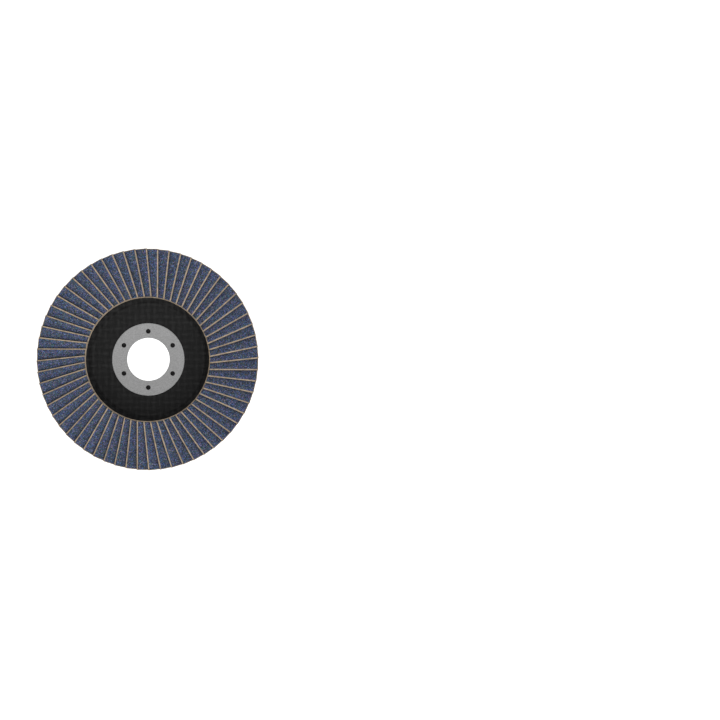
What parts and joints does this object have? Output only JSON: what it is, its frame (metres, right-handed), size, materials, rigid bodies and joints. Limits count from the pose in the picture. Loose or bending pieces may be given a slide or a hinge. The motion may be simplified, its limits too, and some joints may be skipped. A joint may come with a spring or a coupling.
{
  "type": "flap disc",
  "caption": "Abrasive disc with a depressed centre: overlapping flaps of coated cloth fanned on a pressed glass-fibre plate, steel ring round the bore.",
  "frame": {"origin": "on the bore's axis at the back face of the hub, which is the lowest point of the disc lying flaps up", "axes": "+Z along the bore's axis towards the working side; +Y through one of the ring's perforations; the free edge of each flap is its clockwise one, seen from +Z"},
  "size_m": [0.115, 0.115, 0.0102],
  "materials": {
    "glass_fibre_resin": "matt, faint cloth weave",
    "ring_steel": "satin",
    "adhesive_resin": "cured, glossy",
    "coated_cloth": "fine blue grain on tan cloth"
  },
  "bodies": {
    "root": {"backing_plate": "glass_fibre_resin", "arbor_ring": "ring_steel", "adhesive_bed": "adhesive_resin", "flap_pair_01": "coated_cloth", "flap_pair_02": "coated_cloth", "flap_pair_03": "coated_cloth", "flap_pair_04": "coated_cloth", "flap_pair_05": "coated_cloth", "flap_pair_06": "coated_cloth", "flap_pair_07": "coated_cloth", "flap_pair_08": "coated_cloth", "flap_pair_09": "coated_cloth", "flap_pair_10": "coated_cloth", "flap_pair_11": "coated_cloth", "flap_pair_12": "coated_cloth", "flap_pair_13": "coated_cloth", "flap_pair_14": "coated_cloth", "flap_pair_15": "coated_cloth", "flap_pair_16": "coated_cloth", "flap_pair_17": "coated_cloth", "flap_pair_18": "coated_cloth", "flap_pair_19": "coated_cloth", "flap_pair_20": "coated_cloth", "flap_pair_21": "coated_cloth", "flap_pair_22": "coated_cloth", "flap_pair_23": "coated_cloth", "flap_pair_24": "coated_cloth", "flap_pair_25": "coated_cloth", "flap_pair_26": "coated_cloth", "flap_pair_27": "coated_cloth", "flap_pair_28": "coated_cloth", "flap_pair_29": "coated_cloth", "flap_pair_30": "coated_cloth"}
  },
  "joints": []
}
